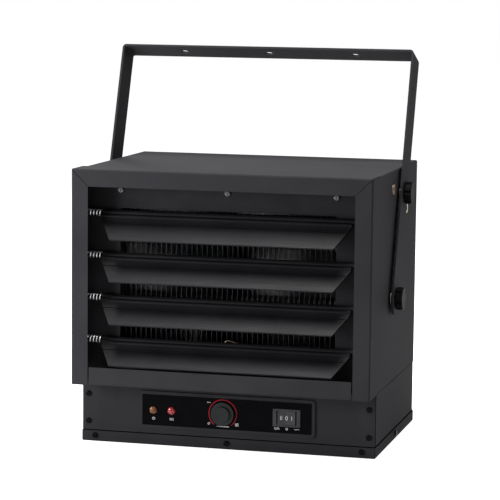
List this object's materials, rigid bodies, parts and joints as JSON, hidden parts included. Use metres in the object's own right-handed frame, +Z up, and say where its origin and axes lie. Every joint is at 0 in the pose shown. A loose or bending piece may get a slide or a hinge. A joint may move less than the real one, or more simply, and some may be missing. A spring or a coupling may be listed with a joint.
{
  "type": "ceiling heater",
  "caption": "Box-shaped fan heater with tilting louvres, a control box below and a U-strap bracket for a ceiling, with a fan behind finned heating tubes.",
  "frame": {"origin": "on the floor under the middle of the standing heater", "axes": "+Z up, the louvres face -Y, +X to the right seen from the front"},
  "size_m": [0.373, 0.2701, 0.4519],
  "materials": {
    "black_coat": "satin black powder coat",
    "blade_coat": "extruded, satin black coat",
    "zinc_sheet": "zinc-plated sheet",
    "bright_steel": "bright plated",
    "dark_screws": "blackened",
    "overlay_film": "gloss black film",
    "amber_lens": "clear moulded",
    "red_lens": "clear moulded",
    "black_plastic": "fine grain",
    "pale_plastic": "moulded",
    "brass": "plain",
    "spacer_nylon": "natural",
    "fin_aluminium": "mill finish",
    "element_steel": "oxidised",
    "motor_case": "dull grey"
  },
  "bodies": {
    "casing": {"casing_wrap": "black_coat", "hood_top_rail": "black_coat", "hood_left_rail": "black_coat", "hood_right_rail": "black_coat", "front_panel": "black_coat", "lower_casing": "black_coat", "base_tray": "black_coat", "back_panel": "black_coat", "outlet_plate": "black_coat", "fan_guard": "black_coat", "partition_plate": "zinc_sheet", "louvre_carrier_left": "zinc_sheet", "louvre_carrier_right": "zinc_sheet", "element_plates": "zinc_sheet", "motor_bracket": "zinc_sheet", "louvre_spring_1": "bright_steel", "louvre_spring_2": "bright_steel", "louvre_spring_3": "bright_steel", "louvre_spring_4": "bright_steel", "outlet_plate_screws": "bright_steel", "motor_screws": "bright_steel", "front_panel_screws": "dark_screws", "tray_screws": "dark_screws", "back_panel_screws": "dark_screws", "control_overlay": "overlay_film", "amber_lamp_lens": "amber_lens", "red_lamp_lens": "red_lens", "switch_housing": "black_plastic", "lamp_bodies": "black_plastic", "cable_gland": "black_plastic", "thermostat_body": "pale_plastic", "terminal_block": "pale_plastic", "thermal_cutout": "pale_plastic", "side_inserts": "brass", "capillary_bulb": "brass", "pivot_spacers": "spacer_nylon", "heater_fins": "fin_aluminium", "heating_element_1": "element_steel", "heating_element_2": "element_steel", "heating_element_3": "element_steel", "fan_motor": "motor_case"},
    "louvre_1": {"louvre_1": "blade_coat", "louvre_pins_1": "bright_steel"},
    "louvre_2": {"louvre_2": "blade_coat", "louvre_pins_2": "bright_steel"},
    "louvre_3": {"louvre_3": "blade_coat", "louvre_pins_3": "bright_steel"},
    "louvre_4": {"louvre_4": "blade_coat", "louvre_pins_4": "bright_steel"},
    "bracket": {"bracket": "black_coat"},
    "fan": {"fan_blades": "fin_aluminium", "fan_shaft": "bright_steel"},
    "thermostat_dial": {"thermostat_knob": "black_plastic", "thermostat_shaft": "bright_steel"},
    "rocker": {"rocker": "black_plastic"},
    "pivot_knob_left": {"pivot_knob_left": "black_plastic"},
    "pivot_knob_right": {"pivot_knob_right": "black_plastic"},
    "lock_knob_left": {"lock_knob_left": "black_plastic"},
    "lock_knob_right": {"lock_knob_right": "black_plastic"}
  },
  "joints": [
    {"name": "louvre_1_tilt", "type": "hinge", "parent": "casing", "child": "louvre_1", "pos_m": [0, -0.1046, 0.1212], "axis": [1, 0, 0], "range_deg": [-40, 44]},
    {"name": "louvre_2_tilt", "type": "hinge", "parent": "casing", "child": "louvre_2", "pos_m": [0, -0.1046, 0.1698], "axis": [1, 0, 0], "range_deg": [-40, 44]},
    {"name": "louvre_3_tilt", "type": "hinge", "parent": "casing", "child": "louvre_3", "pos_m": [0, -0.1046, 0.2184], "axis": [1, 0, 0], "range_deg": [-40, 44]},
    {"name": "louvre_4_tilt", "type": "hinge", "parent": "casing", "child": "louvre_4", "pos_m": [0, -0.1046, 0.267], "axis": [1, 0, 0], "range_deg": [-40, 44]},
    {"name": "bracket_tilt", "type": "hinge", "parent": "casing", "child": "bracket", "pos_m": [0, -0.0145, 0.171], "axis": [1, 0, 0], "range_deg": [-20, 20]},
    {"name": "pivot_knob_left_turn", "type": "hinge", "parent": "casing", "child": "pivot_knob_left", "pos_m": [0, -0.0145, 0.171], "axis": [1, 0, 0], "continuous": true},
    {"name": "lock_knob_left_turn", "type": "hinge", "parent": "bracket", "child": "lock_knob_left", "pos_m": [0, 0.02825, 0.28846], "axis": [1, 0, 0], "continuous": true},
    {"name": "pivot_knob_right_turn", "type": "hinge", "parent": "casing", "child": "pivot_knob_right", "pos_m": [0, -0.0145, 0.171], "axis": [1, 0, 0], "continuous": true},
    {"name": "lock_knob_right_turn", "type": "hinge", "parent": "bracket", "child": "lock_knob_right", "pos_m": [0, 0.02825, 0.28846], "axis": [1, 0, 0], "continuous": true},
    {"name": "fan_spin", "type": "hinge", "parent": "casing", "child": "fan", "pos_m": [0, 0.1, 0.195], "axis": [0, 1, 0], "continuous": true},
    {"name": "thermostat_turn", "type": "hinge", "parent": "casing", "child": "thermostat_dial", "pos_m": [-0.004, -0.0985, 0.0413], "axis": [0, 1, 0], "range_deg": [0, 270]},
    {"name": "rocker_tip", "type": "hinge", "parent": "casing", "child": "rocker", "pos_m": [0.071, -0.0935, 0.0413], "axis": [0, 0, 1], "range_deg": [-10, 10]}
  ]
}
